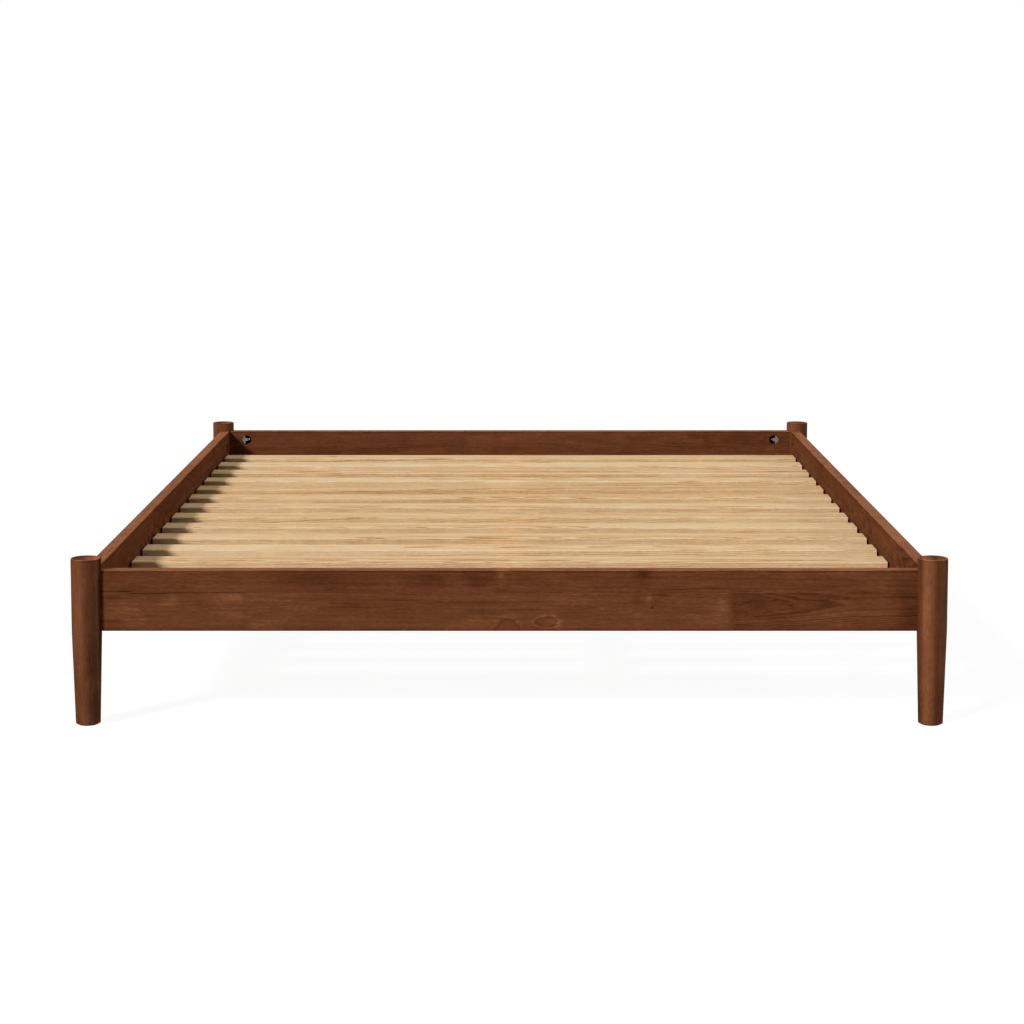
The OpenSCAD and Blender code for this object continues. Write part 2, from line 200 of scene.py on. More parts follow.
# A kind of wood: its colours from dark to light, its ring width, and how strong each feature is
Look = namedtuple("Look", "stops ring_mm rings streaks mottle pores roughness coat")

FINGER_LENGTH = 15 * MM
FINGER_PITCH = 4.0 * MM
ROW_SPLIT = 72 * MM                              # the lower stave's height in a rail
JOINT_DARKNESS = 0.3                             # of a finger joint, beside a glue line's 1
GLUE_WANDER = 3 * MM                             # how far a glue line strays, side to side
OVAL_LINE = 0.19                                 # half the width of an oval's line, beside its size
OVAL_WAVER = 0.9                                 # how far an oval's line strays, beside its size
KNOT_CELLS = (3.6, 9, 0.5)                       # cells in a metre along, across and in depth
KNOT_SWELL = 9 * MM                              # how far a knot lifts the rings around it


def stave_values(f, along, across, rows):
    """The stave that each point is in. rows are the lower and the upper: their joints and staves."""
    teeth = f.math("PINGPONG", across, FINGER_PITCH / 2)
    behind = f.math("SUBTRACT", along, FINGER_LENGTH / 2)
    combed = f.plus(behind, teeth, 2 * FINGER_LENGTH / FINGER_PITCH)
    found = []
    near_joint = 0.0
    for row, (joints, staves) in enumerate(rows):
        first = tuple(staves[0][:3])
        second = (staves[0].pith_depth, staves[0].seed, 0.0)
        for joint, before, after in zip(joints, staves, staves[1:]):
            passed = f.math("GREATER_THAN", combed, joint)
            passed = f.vector(passed, passed, passed)
            change = [a - b for a, b in zip(after, before)]
            first = f.vmath("MULTIPLY_ADD", passed, tuple(change[:3]), first)
            second = f.vmath("MULTIPLY_ADD", passed, (change[3], change[4], 0.0), second)
            gap = f.math("ABSOLUTE", f.math("SUBTRACT", combed, joint))
            line = f.remap(gap, 1.0 * MM, 5.0 * MM, 1.0, 0.0)
            in_row = f.math("GREATER_THAN" if row else "LESS_THAN", across, ROW_SPLIT)
            near_joint = f.math("MAXIMUM", near_joint, f.math("MULTIPLY", line, in_row))
        found.append((first, second))
    upper = f.math("GREATER_THAN", across, ROW_SPLIT)
    upper = f.vector(upper, upper, upper)
    values = []
    for low_row, high_row in zip(*found):
        rise = f.vmath("SUBTRACT", high_row, low_row)
        values += f.split(f.vmath("MULTIPLY_ADD", rise, upper, low_row))
    return Stave(*values[:5]), near_joint


def glue_lines(f, along, across, seams):
    """Thin dark seams along the grain. Each fades in and out, and its darkness wavers."""
    wander = f.noise(f.vector(along), (9, 1, 1), 2.0, seed=4.0)
    waver = f.remap(f.noise(f.vector(along), (24, 1, 1), 2.0, seed=9.0), 0.36, 0.60, 0.65, 1.0)
    total = 0.0
    for seam in seams:
        foot = seam.height - GLUE_WANDER / 2
        climb = f.remap(along, seam.start, seam.end, foot, foot + seam.rise, smooth=False)
        middle = f.plus(climb, wander, GLUE_WANDER)
        gap = f.math("ABSOLUTE", f.math("SUBTRACT", across, middle))
        line = f.remap(gap, 0.3 * MM, 1.5 * MM, seam.darkness, 0.0)
        shown = f.math("MULTIPLY", f.remap(along, seam.start, seam.start + seam.fade),
                       f.remap(along, seam.end - seam.fade, seam.end, 1.0, 0.0))
        total = f.math("MAXIMUM", total, f.math("MULTIPLY", line, shown))
    return f.math("MULTIPLY", total, waver)


def reach_of(f, along, across, spot):
    """The distance from the middle of a spot, which is 1 on the oval that its length and width give."""
    offset = f.vmath("SUBTRACT", f.vector(along, across), (spot.along, spot.across, 0))
    scaled = f.vmath("MULTIPLY", offset, (1 / spot.length, 1 / spot.width, 0))
    return f.vmath("LENGTH", scaled, out="Value")


def falloff(f, reach):
    """1 where reach is 0, 0.37 where it is 1, and next to nothing past 2."""
    return f.math("EXPONENT", f.math("MULTIPLY", f.math("MULTIPLY", reach, reach), -1.0))


def spread(f, along, across, spot):
    """1 in the middle of an eye or a patch, and falling off smoothly around it."""
    return falloff(f, reach_of(f, along, across, spot))


def oval(f, along, across, spot):
    """1 on a wavering oval line around a small figure in the grain, and falling off beside it."""
    waver = f.noise(f.vector(along, across), (70, 160, 1), 2.0, seed=13.0)
    inset = f.math("SUBTRACT", reach_of(f, along, across, spot), 1.0 + 0.5 * OVAL_WAVER)
    return falloff(f, f.math("MULTIPLY", f.plus(inset, waver, OVAL_WAVER), 1 / OVAL_LINE))


def knot_fields(f, place, share):
    """Knots in a share of the wood's cells: the swell that bends the rings, and the dark core."""
    scaled = f.vmath("MULTIPLY", place, KNOT_CELLS)
    cells = f.add("ShaderNodeTexVoronoi", {"Vector": scaled, "Scale": 1.0})
    chosen = f.math("GREATER_THAN", f.split(cells.outputs["Color"])[0], 1 - share)
    reach = cells.outputs["Distance"]
    swell = f.math("MULTIPLY", f.remap(reach, 0.03, 0.42, 1.0, 0.0), chosen)
    core = f.math("MULTIPLY", f.remap(reach, 0.05, 0.085, 1.0, 0.0), chosen)
    return swell, core


def pith_distance(f, along, across, depth, place, stave, straight_from):
    """How far a point is from the pith line, with the taper and the waves of real growth rings."""
    aside = f.math("SUBTRACT", across, stave.pith)
    below = f.math("ADD", depth, stave.pith_depth)
    radius = f.math("SQRT", f.plus(f.math("MULTIPLY", aside, aside), below, below))
    taper = along if straight_from is None else f.math("MINIMUM", along, straight_from)
    radius = f.math("MULTIPLY_ADD", taper, stave.slope, radius)
    radius = f.plus(radius, f.noise(place, (3.5, 14, 14), 2.0, 0.5, 1.3), 7 * MM)
    return f.plus(radius, f.noise(place, (26, 90, 90), 1.0, 0.5, 2.1), 1.5 * MM)


def late_wood(f, count):
    """The dark part of each ring. It builds up slowly, ends sharply, and is stronger in some rings."""
    part = f.math("FRACT", count)
    late = f.math("MULTIPLY", f.remap(part, 0.25, 0.86), f.remap(part, 1.0, 0.88))
    each = f.noise(f.vector(count), (0.45, 1, 1), 2.0, 0.6, 5.0)
    return f.math("MULTIPLY", late, f.remap(each, 0.36, 0.64, 0.25, 1.3))


def wood(name, coordinates, look, board=None, rows=None, seams=(), eyes=(), patches=(), ovals=(),
         knots=0.0, straight_from=None, shade=None):
    """A wood finish. coordinates(f, x, y, z) gives along, across and depth, in metres.

    The piece is one board, or rows of staves with seams. knots is the share of its cells that hold
    one. Past straight_from the rings stop tapering. shade(f, value, along, across, depth) comes last.
    """
    f = Finish(name)
    along, across, depth = coordinates(f, *f.position())
    seam = None
    if rows:
        stave, near_joint = stave_values(f, along, across, rows)
        joint = f.math("MULTIPLY", near_joint, JOINT_DARKNESS)
        seam = f.math("MAXIMUM", joint, glue_lines(f, along, across, seams))
    else:
        stave = board(f) if callable(board) else board
    place = f.vector(f.math("ADD", along, stave.seed), across, f.plus(depth, stave.seed, 0.31))

    # Growth rings
    radius = pith_distance(f, along, across, depth, place, stave, straight_from)
    contrast = look.rings
    for eye in eyes:
        near = spread(f, along, across, eye)
        radius = f.plus(radius, near, eye.lift)
        contrast = f.plus(contrast, near, eye.contrast)
    core = None
    if knots:
        swell, core = knot_fields(f, place, knots)
        radius = f.plus(radius, swell, KNOT_SWELL)
    count = f.math("DIVIDE", radius, look.ring_mm * MM)
    late = late_wood(f, count)
    bands = f.noise(f.vector(count), (0.17, 1, 1), 1.0, 0.5, 8.0)

    # Fibres, streaks, mottling and pores
    fibre = f.noise(place, (60, 1000, 1000), 2.0, 0.6, 3.0)
    streak = f.noise(place, (13, 170, 170), 3.0, 0.62, 4.0)
    dash = f.noise(place, (90, 260, 260), 2.0, 0.55, 11.0)
    mottle = f.noise(place, (16, 45, 45), 2.0, 0.5, 6.0)
    cloud = f.noise(place, (3.0, 13, 13), 1.0, 0.5, 12.0)
    pore = f.remap(f.noise(place, (95, 2300, 2300), 1.0, 0.5, 7.0), 0.63, 0.72)

    # The tone, from 0 for the darkest of the look's colours to 1 for the lightest. Each noise is
    # about 0.5 on average, so half of what the streaks and the mottle add is taken off first.
    streaks_added = look.streaks * (1.0 + 1.1 + 0.6)
    mottle_added = look.mottle * (1.0 + 0.7)
    middle = 0.5 + 0.25 * look.rings - 0.5 * (streaks_added + mottle_added)
    value = f.math("ADD", stave.tone, middle)
    value = f.math("SUBTRACT", value, f.math("MULTIPLY", late, contrast))
    for layer, share in ((bands, 0.4 * look.rings), (streak, look.streaks), (dash, 1.1 * look.streaks),
                         (fibre, 0.6 * look.streaks), (mottle, look.mottle), (cloud, 0.7 * look.mottle),
                         (pore, -look.pores)):
        value = f.plus(value, layer, share)
    if seam is not None:
        value = f.plus(value, seam, -0.42)
    if core is not None:
        value = f.plus(value, core, -0.5)
    for patch in patches:
        value = f.plus(value, spread(f, along, across, patch), patch.tone)
    for spot in ovals:
        value = f.plus(value, oval(f, along, across, spot), spot.tone)
    if shade:
        value = shade(f, value, along, across, depth)

    f.set(Base_Color=f.ramp(value, look.stops))
    rough = f.plus(f.math("MULTIPLY_ADD", streak, 0.16, look.roughness - 0.08), pore, 0.12)
    f.set(Roughness=rough, Specular_IOR_Level=0.0, Coat_Weight=look.coat, Coat_Roughness=0.34)
    height = f.plus(f.math("MULTIPLY", fibre, 0.5), pore, -0.8)
    height = f.plus(height, late, -0.35)
    if seam is not None:
        height = f.plus(height, seam, -0.8)
    f.bump(height, 0.10 * MM, 0.55)
    return f.material


DISH_RADIUS = 25.5 * MM
DISH_EDGE = 0.5 * MM                             # how far the tone fades to each side of that radius
# Painted light and shade at a rail's arrises: the heights between which the tone changes, and by how
# much.
# They are counted up from the rail's lower edge for the lower arris, and down from its top for the
# upper.
# Painted shade on the lower arris, which faces the floor
LOWER_ARRIS_PAINTED_SHADE = (1.4 * MM, 4.0 * MM, -0.42)
# Painted shade just below the upper arris, and a painted highlight over that arris and the top face
UPPER_ARRIS_PAINTED_LIGHT_AND_SHADE = ((5.0 * MM, 3.0 * MM, -0.34), (2.8 * MM, 1.8 * MM, 0.62), (0.5 * MM, 0.1 * MM, 0.10))


def painted_rim_and_dish_shading(side_y, dish_painted_shading):
    """Painted highlight on a leg's rim, more on its outer half, and painted light and shade across the
    dish.
    """
    def shade(f, value, along, across, depth):
        # Painted highlight: the rim is lighter, and more so on its outer half
        near_top = f.remap(along, LEG_TOP - 1.6 * MM, LEG_TOP - 0.7 * MM)
        outer = f.remap(f.math("MULTIPLY", depth, side_y), -18 * MM, 2 * MM, 0.12, 0.50)
        value = f.math("MULTIPLY_ADD", near_top, outer, value)
        # A darker line runs around the leg just below it
        value = f.plus(value, f.remap(along, LEG_TOP - 4.0 * MM, LEG_TOP - 2.2 * MM), -0.16)
        # Painted light and shade: the dish goes from one tone at its left to another at its right
        distance = f.vmath("LENGTH", f.vector(across, depth), out="Value")
        in_dish = f.remap(distance, DISH_RADIUS + DISH_EDGE, DISH_RADIUS - DISH_EDGE)
        painted_dish_lean = f.remap(across, -12 * MM, 12 * MM, *dish_painted_shading)
        return f.math("MULTIPLY_ADD", in_dish, painted_dish_lean, value)
    return shade


def painted_rail_edge_shading(f, value, along, across, depth):
    """Painted shade on the lower arris and just below the upper one, and a painted highlight on that
    one.
    """
    low, high, tone = LOWER_ARRIS_PAINTED_SHADE
    value = f.plus(value, f.remap(across, low, high, 1.0, 0.0), tone)
    tall = RAIL_HIGH.z - RAIL_LOW.z
    for low, high, tone in UPPER_ARRIS_PAINTED_LIGHT_AND_SHADE:
        value = f.plus(value, f.remap(across, tall - low, tall - high), tone)
    return value


def from_face(axis, start, sign):
    """The distance from a face, measured along +axis or -axis."""
    return lambda f, xyz: f.math("MULTIPLY_ADD", xyz[axis], sign, -sign * start)


def board_place(along_axis, across, depth):
    """Coordinates of a board: each of across and depth is (axis, start, sign)."""
    across_of, depth_of = from_face(*across), from_face(*depth)
    return lambda f, *xyz: (xyz[along_axis], across_of(f, xyz), depth_of(f, xyz))


def turned_place(x, y):
    """Coordinates of a piece turned about a vertical axis."""
    return board_place(Z, (X, x, 1), (Y, y, 1))


WALNUT_STOPS = [(0.0, rgb(58, 27, 11)), (0.3, rgb(83, 45, 24)), (0.5, rgb(96, 54, 31)),
                (0.7, rgb(109, 65, 40)), (1.0, rgb(144, 93, 63))]
LEG_STOPS = [(0.0, rgb(62, 31, 15)), (0.3, rgb(91, 51, 30)), (0.5, rgb(104, 61, 37)),
             (0.7, rgb(118, 72, 46)), (1.0, rgb(146, 94, 64))]
PINE_STOPS = [(0.0, rgb(120, 78, 44)), (0.3, rgb(186, 144, 98)), (0.5, rgb(205, 170, 126)),
              (0.7, rgb(216, 187, 148)), (1.0, rgb(228, 205, 172))]
BEECH_STOPS = [(0.0, rgb(150, 108, 70)), (0.5, rgb(204, 164, 118)), (1.0, rgb(226, 196, 158))]

RAIL_LOOK = Look(WALNUT_STOPS, 2.1, 0.25, 0.37, 0.35, 0.08, 0.46, 0.03)
LEG_LOOK = Look(LEG_STOPS, 2.4, 0.14, 0.34, 0.36, 0.07, 0.44, 0.05)
PINE_LOOK = Look(PINE_STOPS, 3.1, 0.30, 0.30, 0.22, 0.04, 0.62, 0.0)
BEECH_LOOK = Look(BEECH_STOPS, 1.6, 0.2, 0.3, 0.2, 0.2, 0.55, 0.0)

JOINTS_IN_ROW = 4                                # in a rail that is drawn from a seed


def drawn_rail(seed):
    """The rows of staves and the seams of a rail that the view of the foot end doesn't show."""
    pick = random.Random(seed)
    rows = []
    for _ in range(2):
        start = pick.uniform(-0.9, -0.6)
        joints = [start + 0.62 * i + pick.uniform(-0.12, 0.12) for i in range(JOINTS_IN_ROW)]
        staves = [Stave(tone=pick.uniform(-0.09, 0.07), pith=pick.uniform(-0.03, 0.12),
                        slope=pick.uniform(-0.04, 0.04), pith_depth=pick.uniform(0.03, 0.09),
                        seed=pick.uniform(0, 9)) for _ in range(JOINTS_IN_ROW + 1)]
        rows.append((joints, staves))
    seams = []
    for start in (-0.95, -0.2, 0.5):
        start += pick.uniform(-0.1, 0.1)
        end = start + pick.uniform(0.15, 0.4)
        seams.append(Seam(start, end, ROW_SPLIT, 0.0, pick.uniform(0.4, 0.9), 40 * MM))
    return {"rows": rows, "seams": seams}


# The foot rail's figure, as the photo shows it: the lower and the upper row, with the places of
# their finger joints and the staves between them
FOOT_RAIL_ROWS = [
    ([-0.489, 0.415], [Stave(0.00, 0.130, 0.006, 0.040, 2.3), Stave(0.04, 0.118, -0.008, 0.050, 5.1),
                       Stave(-0.13, 0.052, 0.038, 0.0568, 7.7)]),
    ([-0.027], [Stave(-0.05, -0.03, 0.010, 0.050, 1.2), Stave(-0.04, -0.05, 0.016, 0.060, 3.6)]),
]
FOOT_RAIL_EYES = [
    Eye(0.062, 18 * MM, 22 * MM, 10 * MM, 3 * MM, 0.0),
    Eye(0.006, 8 * MM, 24 * MM, 16 * MM, -4 * MM, 0.0),
    Eye(0.266, 50 * MM, 13 * MM, 12 * MM, 6 * MM, 0.10),
    Eye(0.555, 50 * MM, 80 * MM, 34 * MM, 0.0, 0.12),
]


def mark(along, across, length, width, tone):
    """A patch in a rail: along in metres from the rail's middle, and the rest in millimetres."""
    return Patch(along, across * MM, length * MM, width * MM, tone)


FOOT_RAIL_PATCHES = [
    # Around the small knot
    mark(0.266, 45, 2.8, 2.4, -0.5), mark(0.260, 58, 6, 11, 0.22), mark(0.236, 60, 9, 8, -0.20),
    mark(0.285, 68, 12, 4, -0.25), mark(0.250, 106, 16, 8, -0.30),
    # The right stave: its light middle, its end darkened by painted shade beside the leg, and its
    # streaks
    mark(0.630, 45, 115, 80, 0.17), mark(0.395, 45, 16, 20, 0.14), mark(0.750, 50, 32, 90, -0.24),
    mark(0.660, 72, 26, 2.5, -0.24), mark(0.600, 60, 22, 4, -0.16),
    # The left end: two dark streaks and light places
    mark(-0.745, 19, 24, 3, -0.30), mark(-0.74, 62, 30, 2.5, -0.30), mark(-0.540, 66, 48, 6, 0.06),
    mark(-0.628, 58, 14, 11, 0.16), mark(-0.705, 34, 46, 24, 0.16),
    # Beside the upper row's joint
    mark(-0.148, 96, 42, 17, -0.20), mark(-0.062, 94, 26, 15, -0.24), mark(-0.016, 100, 10, 16, 0.24),
    # In the rounded figure right of the middle
    mark(0.058, 17, 8, 6, -0.14), mark(0.088, 16, 6, 5, 0.16),
    # A dark band below the upper edge, and long thin streaks
    mark(-0.36, 98, 60, 10, -0.14), mark(-0.20, 58, 60, 2.2, -0.22), mark(-0.06, 53, 110, 2.4, -0.22),
    mark(0.020, 40, 60, 2.2, -0.20), mark(-0.30, 45, 40, 2.2, -0.20),
    # Broad lighter and darker places
    mark(-0.524, 62, 100, 65, 0.12), mark(0.606, 88, 80, 17, -0.20), mark(0.543, 24, 105, 20, 0.10),
    mark(0.110, 80, 120, 10, 0.12), mark(-0.294, 92, 70, 18, -0.10), mark(-0.719, 76, 60, 12, -0.09),
    mark(0.244, 43, 80, 10, 0.07),
]
FOOT_RAIL_OVALS = [
    # Two lines around each rounded figure at the lower edge, and two in the right stave
    mark(0.071, 17.5, 24, 11.5, 0.16), mark(0.069, 17, 18, 8, -0.18), mark(-0.004, 2, 26, 25, 0.14),
    mark(-0.004, 2, 20, 19, -0.14), mark(0.482, 42, 60, 17, -0.13), mark(0.505, 42, 26, 8, -0.10),
]
FOOT_RAIL_SEAMS = [
    Seam(-0.850, -0.700, 74.5 * MM, 0.0, 1.5, 12 * MM),
    Seam(-0.715, -0.489, 70.0 * MM, 3.5 * MM, 1.1, 8 * MM),
    Seam(0.265, 0.425, 77.0 * MM, 4.0 * MM, 0.75, 30 * MM),
    Seam(0.415, 0.480, 74.5 * MM, 0.0, 1.1, 14 * MM),
    Seam(0.620, 0.720, 73.0 * MM, 0.0, 0.45, 30 * MM),
]


RAIL_UP = (Z, RAIL_LOW.z, 1)
rail_woods = {
    "foot": wood("foot_rail_wood", board_place(X, RAIL_UP, (Y, RAIL_LOW.y, 1)), RAIL_LOOK,
                 rows=FOOT_RAIL_ROWS, seams=FOOT_RAIL_SEAMS, eyes=FOOT_RAIL_EYES,
                 patches=FOOT_RAIL_PATCHES, ovals=FOOT_RAIL_OVALS, straight_from=0.64,
                 shade=painted_rail_edge_shading),
}
# The other rails: a seed for each, the axis that it runs along, and its outer face
for side, seed, run, outer_face in (("head", 11, X, (Y, -RAIL_LOW.y, -1)),
                                    ("left", 12, Y, (X, SIDE_LOW.x, 1)),
                                    ("right", 13, Y, (X, -SIDE_LOW.x, -1))):
    rail_woods[side] = wood(f"{side}_rail_wood", board_place(run, RAIL_UP, outer_face), RAIL_LOOK,
                            shade=painted_rail_edge_shading, **drawn_rail(seed))

LEG_BOARDS = {
    "foot_left": Stave(-0.10, -0.060, 0.010, 0.040, 1.1),
    "foot_right": Stave(0.10, 0.052, -0.012, 0.055, 3.3),
    "head_left": Stave(-0.02, 0.045, 0.014, 0.060, 5.2),
    "head_right": Stave(0.01, -0.055, 0.008, 0.050, 8.4),
}


def band(across, width, tone, along=LEG_TOP / 2, length=1.0):
    """A band of lighter or darker tone up a leg: across, from its axis, and width in millimetres."""
    return Patch(along, across * MM, length, width * MM, tone)


# On the front legs the bands are painted light and shade: painted shade on the inner sides, low down
# too, and painted highlights. The head legs have two plainer bands each.
LEG_BANDS_WITH_PAINTED_SHADING = {
    "foot_left": [band(-9, 6, 0.10), band(9, 8, -0.22), band(21.8, 3, 0.40, 0.175, 0.13),
                  band(27.3, 2.2, -0.42), band(9, 16, 0.17, 0.24, 0.09),
                  band(9.5, 9.5, -0.46, 0.042, 0.064), band(22.5, 6, -0.52, 0.042, 0.064),
                  band(19, 5, 0.26, 0.11, 0.032)],
    "foot_right": [band(-25, 4.5, -0.40), band(6.5, 7, -0.36), band(-15, 8, 0.12, 0.21, 0.13),
                   band(-21, 7, -0.48, 0.032, 0.055), band(-7, 6, -0.18, 0.032, 0.055)],
    "head_left": [band(-12, 6, -0.20), band(9, 7, 0.14)],
    "head_right": [band(-14, 7, 0.12), band(11, 5, -0.22)],
}
# Painted light and shade in each dish: its tone at its left and at its right
DISH_PAINTED_SHADING = {"foot_left": (-0.10, 0.55), "foot_right": (0.20, -0.10),
              "head_left": (0.0, 0.2), "head_right": (0.2, 0.0)}
leg_woods = {
    corner: wood(f"{corner}_leg_wood", turned_place(side_x * LEG_X, side_y * LEG_Y), LEG_LOOK,
                 board=LEG_BOARDS[corner], patches=LEG_BANDS_WITH_PAINTED_SHADING[corner],
                 shade=painted_rim_and_dish_shading(side_y, DISH_PAINTED_SHADING[corner]))
    for corner, (side_x, side_y) in CORNERS.items()
}
centre_leg_wood = wood("centre_leg_wood", turned_place(0, 0), LEG_LOOK,
                       board=Stave(-0.02, 0.04, 0.01, 0.05, 6.6))
ledger_wood = wood("ledger_wood", board_place(Y, RAIL_UP, (X, 0, 1)), RAIL_LOOK,
                   board=Stave(0.02, -0.06, 0.012, 0.03, 4.4))


def slat_number(f, y):
    """Which slat a point is in, counted from 0 at the foot end."""
    return f.math("ROUND", f.math("DIVIDE", f.math("SUBTRACT", y, SLAT_Y[0]), SLAT_PITCH))


def slat_board(f):
    """Each slat's own tone and figure, drawn from its number."""
    number = slat_number(f, f.position()[Y])
    drawn = f.add("ShaderNodeTexWhiteNoise", {"W": f.math("ADD", number, 3.0)}, noise_dimensions="1D")
    first, second, third = f.split(drawn.outputs["Color"])
    return Stave(tone=f.remap(first, 0, 1, -0.10, 0.10, smooth=False),
                 pith=f.remap(second, 0, 1, -0.05, 0.05, smooth=False),
                 slope=f.remap(third, 0, 1, -0.03, 0.03, smooth=False),
                 pith_depth=0.035, seed=f.math("MULTIPLY", number, 1.7))


def slat_place(f, x, y, z):
    """Coordinates of a slat: along it, across it from its middle, and up from its underside."""
    middle = f.math("MULTIPLY_ADD", slat_number(f, y), SLAT_PITCH, SLAT_Y[0])
    return x, f.math("SUBTRACT", y, middle), f.math("SUBTRACT", z, DECK_Z)


slat_wood = wood("slat_wood", slat_place, PINE_LOOK, board=slat_board, knots=0.22)
beam_wood = wood("beam_wood", board_place(Y, (X, 0, 1), (Z, DECK_Z, -1)), PINE_LOOK,
                 board=Stave(-0.10, 0.01, 0.02, 0.03, 2.8), knots=0.2)
dowel_wood = wood("dowel_wood", board_place(X, (Y, 0, 1), (Z, 0, 1)), BEECH_LOOK,
                  board=Stave(0.0, 0.3, 0.0, 0.1, 1.0))


# ---- Metal, nylon, felt and webbing ---------------------------------------------------------

def plated(name, stops, roughness):
    """Electroplated steel: a crystalline mottle, a fine grit and worn bright spots."""
    f = Finish(name)
    place = f.vector(*f.position())
    cloud = f.noise(place, (180, 180, 180), 3.0, 0.6, 1.0)
    grit = f.noise(place, (2600, 2600, 2600), 2.0, 0.6, 2.0)
    cells = f.add("ShaderNodeTexVoronoi", {"Vector": place, "Scale": 900.0})
    spangle = f.split(cells.outputs["Color"])[0]
    value = f.plus(f.math("MULTIPLY", spangle, 0.25), cloud, 1.4)
    f.set(Base_Color=f.ramp(f.math("SUBTRACT", value, 0.33), stops), Metallic=1.0)
    f.set(Roughness=f.plus(f.plus(roughness - 0.16, grit, 0.25), spangle, 0.08))
    f.bump(f.plus(grit, spangle, 0.3), 0.02 * MM, 0.4)
    return f.material


ZINC_STOPS = [(0.0, rgb(148, 152, 158)), (0.5, rgb(176, 181, 187)), (1.0, rgb(203, 207, 210))]
YELLOW_ZINC_STOPS = [(0.0, rgb(172, 128, 62)), (0.45, rgb(198, 164, 88)), (0.7, rgb(206, 180, 112)),
                     (1.0, rgb(186, 150, 128))]
zinc = plated("zinc", ZINC_STOPS, 0.34)
yellow_zinc = plated("yellow_zinc", YELLOW_ZINC_STOPS, 0.36)


def coated(name, dark, light, roughness, grain_per_metre, grain_mm, coat=0.0):
    """Powder coat or moulded plastic: a fine pebbled skin with a faint change of tone."""
    f = Finish(name)
    place = f.vector(*f.position())
    pebble = f.noise(place, (grain_per_metre,) * 3, 2.0, 0.5, 1.0)
    cloud = f.noise(place, (60, 60, 60), 2.0, 0.5, 2.0)
    f.set(Base_Color=f.mix(f.remap(cloud, 0.35, 0.65), dark, light))
    f.set(Roughness=f.math("MULTIPLY_ADD", pebble, 0.3, roughness - 0.15), Coat_Weight=coat)
    f.bump(pebble, grain_mm * MM, 0.7)
    return f.material


powder_coat = coated("powder_coat", rgb(44, 44, 46), rgb(54, 54, 56), 0.5, 1100, 0.05, 0.2)
nylon = coated("nylon", rgb(34, 34, 36), rgb(42, 42, 44), 0.48, 2400, 0.02)


FELT_CURL = 2 * MM                               # how far the fibres bend aside
FELT_STOPS = [(0.0, rgb(38, 26, 19)), (0.6, rgb(62, 45, 34)), (1.0, rgb(96, 76, 60))]


def felt_finish():
    """Pressed felt: tangled fibres of slightly different browns."""
    f = Finish("felt_brown")
    place = f.vector(*f.position())
    swirl = f.noise(place, (700, 700, 700), 3.0, 0.65, 1.0)
    aside = f.vector(f.math("MULTIPLY", swirl, FELT_CURL), f.math("MULTIPLY", swirl, -FELT_CURL))
    bent = f.vmath("ADD", place, aside)
    hair = f.noise(bent, (900, 5200, 900), 2.0, 0.6, 2.0)
    hair_across = f.noise(bent, (5200, 900, 900), 2.0, 0.6, 3.0)
    tangle = f.math("MAXIMUM", hair, hair_across)
    f.set(Base_Color=f.ramp(f.remap(tangle, 0.42, 0.72), FELT_STOPS))
    f.set(Roughness=0.95, Sheen_Weight=0.3, Sheen_Roughness=0.6, Specular_IOR_Level=0.1)
    f.bump(f.plus(tangle, swirl, 0.6), 0.3 * MM, 0.8)
    return f.material


felt = felt_finish()
YARN_ALONG_X = 0.95 * MM                         # from one yarn to the next
YARN_ALONG_Y = 0.8 * MM
WEBBING_STOPS = [(0.1, rgb(150, 144, 130)), (0.5, rgb(206, 200, 186)), (0.95, rgb(232, 228, 216))]


def webbing_finish():
    """Plain-woven polyester: pale yarns over and under, with painted shade in the hollows between them.
    """
    f = Finish("webbing_cream")
    x, y, z = f.position()
    wave_x = f.math("SINE", f.math("MULTIPLY", x, math.pi / YARN_ALONG_X))
    wave_y = f.math("SINE", f.math("MULTIPLY", y, math.pi / YARN_ALONG_Y))
    weave_and_hollow_shade = f.math("ABSOLUTE", f.math("MULTIPLY", wave_x, wave_y))
    twist = f.noise(f.vector(x, y, z), (2600, 900, 900), 2.0, 0.6, 1.0)
    soil = f.noise(f.vector(x, y, z), (22, 9, 22), 2.0, 0.5, 2.0)
    # The weave's hollows are darker: painted shade
    value = f.plus(f.plus(f.math("MULTIPLY", weave_and_hollow_shade, 0.55), twist, 0.4), soil, 0.35)
    f.set(Base_Color=f.ramp(value, WEBBING_STOPS))
    f.set(Roughness=0.86, Sheen_Weight=0.15, Sheen_Roughness=0.5, Specular_IOR_Level=0.2)
    f.bump(f.plus(weave_and_hollow_shade, twist, 0.3), 0.18 * MM, 0.9)
    return f.material


webbing = webbing_finish()

# ---- Which finish goes on which part --------------------------------------------------------

FINISHES = {
    "left_ledger": ledger_wood, "right_ledger": ledger_wood,
    "centre_beam": beam_wood, "centre_leg": centre_leg_wood,
    "foot_beam_hanger": powder_coat, "head_beam_hanger": powder_coat,
    "centre_leg_stud": zinc, "centre_foot_stem": zinc, "strap_staples": zinc,
    "rail_studs": zinc, "rail_washers": zinc, "rail_nuts": zinc, "hanger_screws": zinc,
    "centre_beam_insert": yellow_zinc, "centre_foot_insert": yellow_zinc, "rail_inserts": yellow_zinc,
    "ledger_screws": yellow_zinc, "slat_screws": yellow_zinc,
    "centre_foot_pad": nylon, "rail_dowels": dowel_wood,
    "slat_strap_left": webbing, "slat_strap_right": webbing,
}
for side in rail_woods:
    FINISHES[f"{side}_rail"] = rail_woods[side]
for corner in CORNERS:
    FINISHES[f"{corner}_leg"] = leg_woods[corner]
    FINISHES[f"{corner}_glide"] = felt
for name in SLATS:
    FINISHES[name] = slat_wood
for name, node in nodes.items():
    node.data.materials.clear()
    node.data.materials.append(FINISHES[name])


# ---- Pieces that replace plain CAD stand-ins ------------------------------------------------

